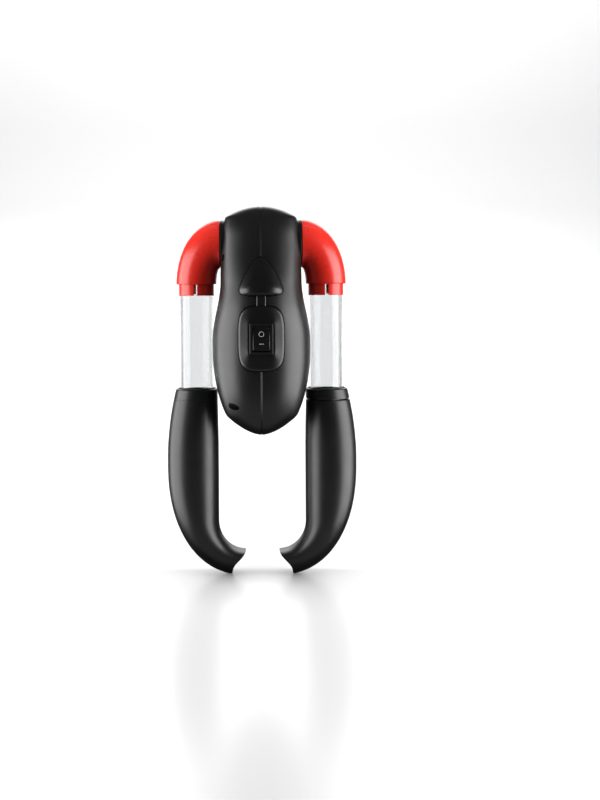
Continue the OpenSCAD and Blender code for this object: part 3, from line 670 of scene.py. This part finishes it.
def nozzle_loop(inner, outer, wide, power, inset, cut=0.0):
    """A superellipse ring from the inner to the outer side point; cut hollows it for the mouth."""
    cx, cz = (inner[0] + outer[0]) / 2, (inner[1] + outer[1]) / 2
    vx, vz = (outer[0] - inner[0]) / 2, (outer[1] - inner[1]) / 2
    size = math.hypot(vx, vz)
    ux, uz = vx / size, vz / size
    long, w = size - inset, wide - inset
    points = []
    for j in range(RING_STEPS):
        t = 2 * math.pi * j / RING_STEPS
        c, s = signed_power(math.cos(t), 2 / power), signed_power(math.sin(t), 2 / power)
        back = cut * math.sin(math.pi * ((1 + c) / 2) ** 1.6) * abs(s)
        points.append((cx + long * c * ux - back * uz, w * s, cz + long * c * uz + back * ux))
    return points


def straight_loop(z, inset=0.0):
    return nozzle_loop((nozzle_inner_x(z), z), (nozzle_outer_x(z), z), nozzle_wide(z), 2, inset)


def bend_loop(s, inset=0.0):
    a = math.pi / 2 * s
    b = math.radians(FIRST_TURN + (LAST_TURN - FIRST_TURN) * s)
    inner = (INNER_C[0] + INNER_R[0] * math.cos(a), INNER_C[1] - INNER_R[1] * math.sin(a))
    outer = (OUTER_C[0] + OUTER_R[0] * math.cos(b) ** (2 / OUTER_P),
             OUTER_C[1] - OUTER_R[1] * math.sin(b) ** (2 / OUTER_P))
    return nozzle_loop(inner, outer, lerp(NOZZLE_HALF_Y, MOUTH_HALF_Y, s), 2 + 0.8 * s, inset,
                       MOUTH_CUT * max(0.0, s * 5 - 4))


def nozzle(side, word, gap, edge):
    """The curved outlet, hollow from its collar to its mouth."""
    top = NOZZLE_TOP - COLLAR_H - gap
    straight, bend = 44, 40

    def run(inset):
        return ([straight_loop(lerp(top, BEND_Z, k / straight), inset) for k in range(1, straight + 1)]
                + [bend_loop(k / bend, inset) for k in range(1, bend)])
    outside, inside = run(0.0), run(NOZZLE_WALL)
    head = [straight_loop(top, edge), straight_loop(top - 0.4 * edge, 0.27 * edge),
            straight_loop(top - 1.1 * edge, 0.0)]
    lip = [bend_loop(s, inset) for s, inset in (
        (0.985, 0.0), (0.996, 0.15), (1, 0.5), (1, NOZZLE_WALL - 0.35), (0.992, NOZZLE_WALL))]
    tail = [straight_loop(top, NOZZLE_WALL)]
    shell = loft(word + "_nozzle_shell", head + outside + lip + inside[::-1] + tail, ring=True)
    return flip_side(shell, side)


def nozzle_collar(side, word, edge):
    """The collar at a nozzle's top, with a rounded rim, the wiper's seat and the tube's bore."""
    low = NOZZLE_TOP - COLLAR_H
    rim, steps = 0.8, 8
    loops = [straight_loop(NOZZLE_TOP - down, inset)
             for down, inset in ((0, 0.75), (0.12, 0.4), (0.4, 0.12), (rim, 0.0))]
    loops += [straight_loop(lerp(NOZZLE_TOP - rim, low + edge, k / steps)) for k in range(1, steps + 1)]
    loops += [straight_loop(low + 0.25 * edge, 0.3 * edge), straight_loop(low, edge)]
    body = loft("collar_body", loops, True, True)
    stem = rod("stem", "z", 12.35, TUBE_END + 2.5, low + 0.5, (ARM_X, 0, 0), RING_STEPS)
    combine(body, [stem], "UNION")
    combine(body, [rod("bore", "z", TUBE_R + 0.07, TUBE_END, NOZZLE_TOP + 1, (ARM_X, 0, 0), RING_STEPS),
                   rod("seat", "z", SEAT_R, NOZZLE_TOP - SEAT_DEPTH, NOZZLE_TOP + 1, (ARM_X, 0, 0),
                       RING_STEPS)])
    body.name = word + "_nozzle_head"
    return flip_side(body, side)


def nozzle_seal(side, word):
    ring = ring_outline(TUBE_R + 0.08, SEAT_R - 0.05, NOZZLE_TOP - SEAT_DEPTH, NOZZLE_TOP + 0.68, 0.4)
    return flip_side(turned(word + "_wiper_ring", ring, "z", (ARM_X, 0, 0)), side)


# ---- housing openings --------------------------------------------------------------------------------
SCREW_PLACES = ((-18.5, 219.5), (-33.8, 119.3), (7, 179), (4, 131))
SCREW_HOLE_R = 2.4
SCREW_BOSS_R = 4
SCREW_SEAT_X = 8
SCREW_BORE_R = 1.6
SLOT_COUNT = 9
SLOT_MIDDLE = (SLOT_COUNT - 1) / 2
SLOT_PITCH = 4.6
SLOT_H = 2.2
INTAKE_Z = 157
INLET_HALF = (10.5, 6)
INLET_Z = 116


def surface_x(y, z):
    """Distance of the housing's skin from the middle plane at a depth and height."""
    behind = y > belt_y(z)
    reach, p = (back_d(z), back_n(z)) if behind else (front_d(z), FRONT_N)
    return half_w(z) * ellipse_w(min(1.0, abs(y - belt_y(z)) / reach), p)


def screw_boss(y, z):
    """A round boss inside the left half, from the seam to just under the skin."""
    steps = 40
    seam, under_skin = [], []
    for k in range(steps):
        a = 2 * math.pi * k / steps
        v, w = y + SCREW_BOSS_R * math.cos(a), z + SCREW_BOSS_R * math.sin(a)
        seam.append((-0.02, v, w))
        under_skin.append((-max(1.0, surface_x(v, w) - 1.1), v, w))
    return loft("screw_boss", [seam, under_skin], True, True)


def finished_half(side, word):
    """A housing half with its bosses, and with every opening cut."""
    half = housing_half(word + "_housing_shell", side)
    swivel = (0, 0, SWIVEL_Z)
    combine(half, [rod("boss", "x", BOSS_R, side * 19.2, side * BOSS_END_X, swivel, RING_STEPS)], "UNION")
    cutters = [front_cutter(outline(panel_point, TRIM_GAP)),
               front_cutter(outline(hood_point, TRIM_GAP)),
               box_mesh("cut", (-NECK_HALF - TRIM_GAP, -60, 184), (NECK_HALF + TRIM_GAP, -20, 195)),
               box_mesh("cut", (-INLET_HALF[0] - 0.2, 0, INLET_Z - INLET_HALF[1] - 0.2),
                        (INLET_HALF[0] + 0.2, 30, INLET_Z + INLET_HALF[1] + 0.2)),
               rod("cut", "x", RING_SEAT_R, side * 18, side * 40, swivel, RING_STEPS),
               rod("cut", "x", ELBOW_FACE_R, side * BOSS_END_X, side * 40, swivel, RING_STEPS)]
    if side < 0:
        combine(half, [screw_boss(y, z) for y, z in SCREW_PLACES], "UNION")
        cutters += [rod("cut", "x", SCREW_HOLE_R, -SCREW_SEAT_X, -40, (0, y, z), 40)
                    for y, z in SCREW_PLACES]
        cutters += [rod("cut", "x", SCREW_BORE_R, 1, -SCREW_SEAT_X - 1, (0, y, z), 24)
                    for y, z in SCREW_PLACES]
    for k in range(SLOT_COUNT):
        z = INTAKE_Z + (k - SLOT_MIDDLE) * SLOT_PITCH
        reach = 6.5 + 12 * math.sqrt(1 - ((k - SLOT_MIDDLE) / 5) ** 2)
        low, high = sorted((side * 3, side * reach))
        cutters.append(box_mesh("cut", (low, 2, z - SLOT_H / 2), (high, 30, z + SLOT_H / 2), 0.9, 3))
    combine(half, cutters)
    return half


# ---- materials ------------------------------------------------------------------------------------
class Nodes:
    """A new material's node tree, with short ways to add nodes and link them."""

    def __init__(self, name):
        self.material = bpy.data.materials.new(name)
        self.material.use_nodes = True
        self.tree = self.material.node_tree
        self.shader = self.tree.nodes["Principled BSDF"]

    def add(self, kind, **settings):
        node = self.tree.nodes.new(kind)
        for key, value in settings.items():
            if key in node.inputs:
                node.inputs[key].default_value = value
            else:
                setattr(node, key, value)
        return node

    def link(self, source, target, socket):
        self.tree.links.new(source, target.inputs[socket])

    def noise(self, scale, detail=3.0, roughness=0.5, stretch=None):
        place = self.add("ShaderNodeTexCoord")
        noise = self.add("ShaderNodeTexNoise")
        noise.inputs["Scale"].default_value = scale
        noise.inputs["Detail"].default_value = detail
        noise.inputs["Roughness"].default_value = roughness
        source = place.outputs["Object"]
        if stretch:
            mapping = self.add("ShaderNodeMapping")
            mapping.inputs["Scale"].default_value = stretch
            self.link(source, mapping, "Vector")
            source = mapping.outputs["Vector"]
        self.link(source, noise, "Vector")
        return noise.outputs["Fac"]

    def ranged(self, source, low, high, from_low=0.3, from_high=0.7):
        node = self.add("ShaderNodeMapRange")
        limits = {"From Min": from_low, "From Max": from_high, "To Min": low, "To Max": high}
        for key, value in limits.items():
            node.inputs[key].default_value = value
        self.link(source, node, "Value")
        return node.outputs["Result"]

    def mix(self, factor, first, second):
        node = self.add("ShaderNodeMix", data_type="RGBA")
        self.link(factor, node, "Factor")
        for socket, value in ((node.inputs[6], first), (node.inputs[7], second)):
            if isinstance(value, tuple):
                socket.default_value = (*value, 1.0)
            else:
                self.tree.links.new(value, socket)
        return node.outputs[2]

    def bump(self, height, strength, distance, after=None):
        node = self.add("ShaderNodeBump")
        node.inputs["Strength"].default_value = strength
        node.inputs["Distance"].default_value = distance
        self.link(height, node, "Height")
        if after is not None:
            self.link(after, node, "Normal")
        return node.outputs["Normal"]

    def edges(self, low=0.52, high=0.62):
        """How exposed an edge is, from 0 on flats to 1 on sharp corners."""
        geometry = self.add("ShaderNodeNewGeometry")
        return self.ranged(geometry.outputs["Pointiness"], 0.0, 1.0, low, high)


def moulded(name, colour, pale, rough, grain=0.00006, grain_scale=2600, wear=0.25):
    """Moulded plastic: spark-eroded grain, slow changes of sheen, faint scuffs and paler edges."""
    n = Nodes(name)
    broad = n.noise(14, 4)
    cloud = n.noise(90, 5, 0.6)
    fine = n.noise(grain_scale, 2)
    faded = tuple(lerp(a, b, 0.35) for a, b in zip(colour, pale))
    base = n.mix(n.ranged(broad, 0.0, 1.0), colour, faded)
    worn = n.add("ShaderNodeMath", operation="MULTIPLY")
    n.link(n.edges(), worn, 0)
    n.link(n.ranged(cloud, 0.0, wear), worn, 1)
    n.link(n.mix(worn.outputs[0], base, pale), n.shader, "Base Color")
    n.link(n.ranged(cloud, rough[0], rough[1]), n.shader, "Roughness")
    n.link(n.bump(fine, 0.35, grain, n.bump(broad, 0.15, 0.0004)), n.shader, "Normal")
    return n.material


def metal(name, colour, rough, stretch=(1, 1, 30)):
    """Drawn or plated metal with fine lines and a little tarnish."""
    n = Nodes(name)
    lines = n.noise(900, 3, 0.6, stretch)
    patches = n.noise(120, 4)
    tarnished = tuple(c * 0.72 for c in colour)
    n.link(n.mix(n.ranged(patches, 0.0, 1.0), colour, tarnished), n.shader, "Base Color")
    n.link(n.ranged(lines, rough[0], rough[1]), n.shader, "Roughness")
    n.link(n.bump(lines, 0.2, 0.00003), n.shader, "Normal")
    n.shader.inputs["Metallic"].default_value = 1.0
    return n.material


def clear(name):
    """Clear moulded polycarbonate with faint flow lines."""
    n = Nodes(name)
    flow = n.noise(60, 3, 0.5, (1, 1, 0.15))
    fine = n.noise(700, 2)
    tint, pale_tint = (0.72, 0.728, 0.732), (0.745, 0.751, 0.754)
    n.link(n.mix(n.ranged(flow, 0.0, 1.0), tint, pale_tint), n.shader, "Base Color")
    n.link(n.ranged(fine, 0.05, 0.11), n.shader, "Roughness")
    n.link(n.bump(flow, 0.08, 0.0003), n.shader, "Normal")
    n.shader.inputs["IOR"].default_value = 1.3
    n.shader.inputs["Transmission Weight"].default_value = 1.0
    return n.material


def paint_all():
    """Makes every look and puts one on each CAD node, by the slots that the record gives."""
    black = (0.0042, 0.0043, 0.0047)
    grey = (0.02, 0.02, 0.021)
    looks = {
        "housing": moulded("housing_black", black, grey, (0.32, 0.38), 0.00003),
        "trim": moulded("trim_black", (0.003, 0.0032, 0.0038), grey, (0.3, 0.36), 0.00002, 3200),
        "nozzle": moulded("nozzle_black", (0.0042, 0.0044, 0.005), grey, (0.34, 0.4), 0.00005),
        "switch_frame": moulded("switch_frame_black", (0.005, 0.005, 0.006), grey, (0.3, 0.38), 0.00003),
        "rocker": moulded("rocker_black", (0.004, 0.004, 0.005), grey, (0.22, 0.3), 0.00002, 3200),
        "mark": moulded("mark_grey", (0.42, 0.46, 0.45), (0.5, 0.52, 0.5), (0.4, 0.5), 0.00002),
        "ring": moulded("ring_black", (0.004, 0.004, 0.0045), grey, (0.4, 0.5), 0.00003),
        "elbow": moulded("elbow_red", (0.78, 0.024, 0.014), (0.84, 0.036, 0.02), (0.26, 0.32), 0.00002,
                         2200, 0.15),
        "seal": moulded("seal_rubber", (0.005, 0.005, 0.005), (0.02, 0.02, 0.02), (0.6, 0.75), 0.00004),
        "casing": moulded("casing_polyamide", (0.5, 0.49, 0.45), (0.66, 0.65, 0.6), (0.45, 0.55)),
        "impeller": moulded("impeller_black", (0.03, 0.03, 0.033), (0.1, 0.1, 0.1), (0.35, 0.45)),
        "duct": moulded("duct_beige", (0.55, 0.49, 0.37), (0.7, 0.65, 0.52), (0.5, 0.6)),
        "heater_frame": moulded("heater_frame_brown", (0.3, 0.25, 0.17), (0.45, 0.4, 0.3), (0.5, 0.62)),
        "phenolic": moulded("phenolic_brown", (0.05, 0.028, 0.015), (0.12, 0.08, 0.05), (0.3, 0.42)),
        "fuse": moulded("fuse_white", (0.72, 0.7, 0.63), (0.85, 0.84, 0.8), (0.15, 0.25), 0.00002),
        "board": moulded("board_green", (0.01, 0.11, 0.03), (0.04, 0.24, 0.08), (0.2, 0.32), 0.00003),
        "inlet": moulded("inlet_black", (0.007, 0.007, 0.008), grey, (0.38, 0.48), 0.00004),
        "wire": moulded("wire_red", (0.4, 0.02, 0.015), (0.6, 0.1, 0.08), (0.4, 0.5), 0.00003),
        "contacts": metal("contact_brass", (0.83, 0.66, 0.33), (0.2, 0.34)),
        "steel": metal("zinc_steel", (0.62, 0.63, 0.64), (0.25, 0.4)),
        "motor_can": metal("motor_steel", (0.6, 0.6, 0.6), (0.22, 0.36), (30, 1, 30)),
        "fins": metal("fin_aluminium", (0.82, 0.82, 0.82), (0.25, 0.4)),
        "clear_tube": clear("clear_polycarbonate"),
    }
    for row in frame["record"]["subparts"]:
        mesh = nodes[row["node"]].data
        mesh.materials.clear()
        mesh.materials.append(looks[row["material_slot"]])
    return looks


looks = paint_all()


def dress(obj, body, slot, *replaced, look=None):
    """Gives a new piece its body and the material of its slot, and hides the CAD nodes that it stands for.
    """
    obj.data.materials.clear()
    obj.data.materials.append(looks[look or slot])
    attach(obj, body)
    if replaced:
        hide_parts(*replaced)
    return obj


# ---- build ---------------------------------------------------------------------------------------------
for word, side in SIDES:
    dress(finished_half(side, word), "housing", "housing", word + "_housing")
    dress(swivel_ring(side, word), "housing", "ring", word + "_swivel_ring")
    dress(elbow(side, word), word + "_elbow", "elbow", word + "_elbow")
    dress(clear_tube(side, word), word + "_tube", "clear_tube", word + "_tube")
    gap, edge = (0.1, 0.06) if side < 0 else (0.8, 0.4)
    dress(nozzle(side, word, gap, edge), word + "_nozzle", "nozzle", word + "_nozzle")
    dress(nozzle_collar(side, word, edge), word + "_nozzle", "nozzle", word + "_nozzle_collar")
    dress(nozzle_seal(side, word), word + "_nozzle", "seal", word + "_nozzle_seal")
dress(hood_cap(), "housing", "trim", "hood_cap")
dress(switch_panel(), "housing", "trim", "switch_panel")
dress(switch_frame(), "housing", "switch_frame", "switch_body")
dress(rocker(), "rocker", "rocker", "switch_rocker")
for piece in rocker_marks():
    dress(piece, "rocker", "rocker", look="mark")


# ---- studio ------------------------------------------------------------------------------------------
def studio_surface(name, grey, rough):
    """Matt paper with very slight unevenness."""
    n = Nodes(name)
    soft = n.noise(3, 3)
    n.link(n.mix(n.ranged(soft, 0.0, 1.0), (grey,) * 3, (grey * 0.99,) * 3), n.shader, "Base Color")
    n.link(n.ranged(soft, rough, rough + 0.05), n.shader, "Roughness")
    return n.material


def sheet(name, profile, half_width, colour, rough):
    """A studio surface: a profile of (y, z) drawn out along x."""
    columns = len(profile)
    points = [(x, y, z) for x in (-half_width, half_width) for y, z in profile]
    faces = [(j, j + 1, columns + j + 1, columns + j) for j in range(columns - 1)]
    obj = make_mesh(name, points, faces)
    obj.data.materials.append(studio_surface(name + "_white", colour, rough))
    obj.visible_diffuse = False
    obj.visible_glossy = False


def studio():
    """A pale floor that curves up into a backdrop."""
    floor_z, curve_y, curve_r, steps = -0.6, 700, 500, 12
    curve = [(curve_y + curve_r * math.sin(a), floor_z + curve_r - curve_r * math.cos(a))
             for a in (math.pi / 2 * k / steps for k in range(steps + 1))]
    sheet("studio_floor", [(-1400, floor_z), (curve_y, floor_z)], 2500, 0.72, 0.2)
    sheet("studio_backdrop", curve + [(1200, 2200)], 2500, 0.86, 0.6)


def area_light(name, place, target, size, power, hidden_from=()):
    """A rectangular light facing a target, unseen by the kinds of ray that are listed."""
    light = bpy.data.lights.new(name, "AREA")
    light.shape = "RECTANGLE"
    light.size, light.size_y = size
    light.energy = power
    obj = bpy.data.objects.new(name, light)
    bpy.context.scene.collection.objects.link(obj)
    obj.location = place
    obj.rotation_euler = (Vector(target) - Vector(place)).to_track_quat("-Z", "Y").to_euler()
    for ray in hidden_from:
        setattr(obj, "visible_" + ray, False)


def camera():
    """Level, square to the front, at about the height of the elbows' collars, with a slight roll."""
    distance = 0.75
    seen_height = 0.56
    sensor = 36
    eye = Vector((0.0, -distance, 0.192))
    centre = Vector((0.0272, 0.0, 0.1204))
    data = bpy.data.cameras.new("camera")
    data.sensor_width = sensor
    data.lens = sensor * distance / seen_height
    data.shift_x = (centre.x - eye.x) / seen_height
    data.shift_y = (centre.z - eye.z) / seen_height
    obj = bpy.data.objects.new("camera", data)
    bpy.context.scene.collection.objects.link(obj)
    obj.location = eye
    obj.rotation_euler = (math.radians(90), math.radians(0.35), 0)
    bpy.context.scene.camera = obj


studio()
area_light("softbox_left", (-0.62, -0.1, 0.12), (0, 0, 0.12), (0.75, 0.68), 8.8)
area_light("softbox_right", (0.6, -0.18, 0.12), (0, 0, 0.12), (0.6, 0.68), 8.6)
area_light("softbox_top", (0, 0.85, 0.72), (0, 0.2, 0.15), (1.0, 0.6), 5.5)
area_light("kick_card", (0, -0.13, 0.002), (0, -0.13, 1), (0.7, 0.2), 0.15, ("camera", "transmission"))
area_light("glow_card", (0, 1.1, 0.42), (0, 0, 0.42), (1.3, 0.85), 4, ("camera", "diffuse", "transmission"))
area_light("floor_wash", (0, -0.5, 1.8), (0, 0.2, 0), (2.5, 2.5), 12.5, ("glossy",))
area_light("backdrop_wash", (0, 0.2, 1.5), (0, 1.2, 0.65), (2.8, 0.6), 31, ("glossy",))
world = bpy.data.worlds.new("studio_world")
world.use_nodes = True
ambient = world.node_tree.nodes["Background"]
ambient.inputs["Color"].default_value = (1, 1, 1, 1)
ambient.inputs["Strength"].default_value = 0.03
bpy.context.scene.world = world
bpy.context.scene.view_settings.view_transform = "Standard"
camera()
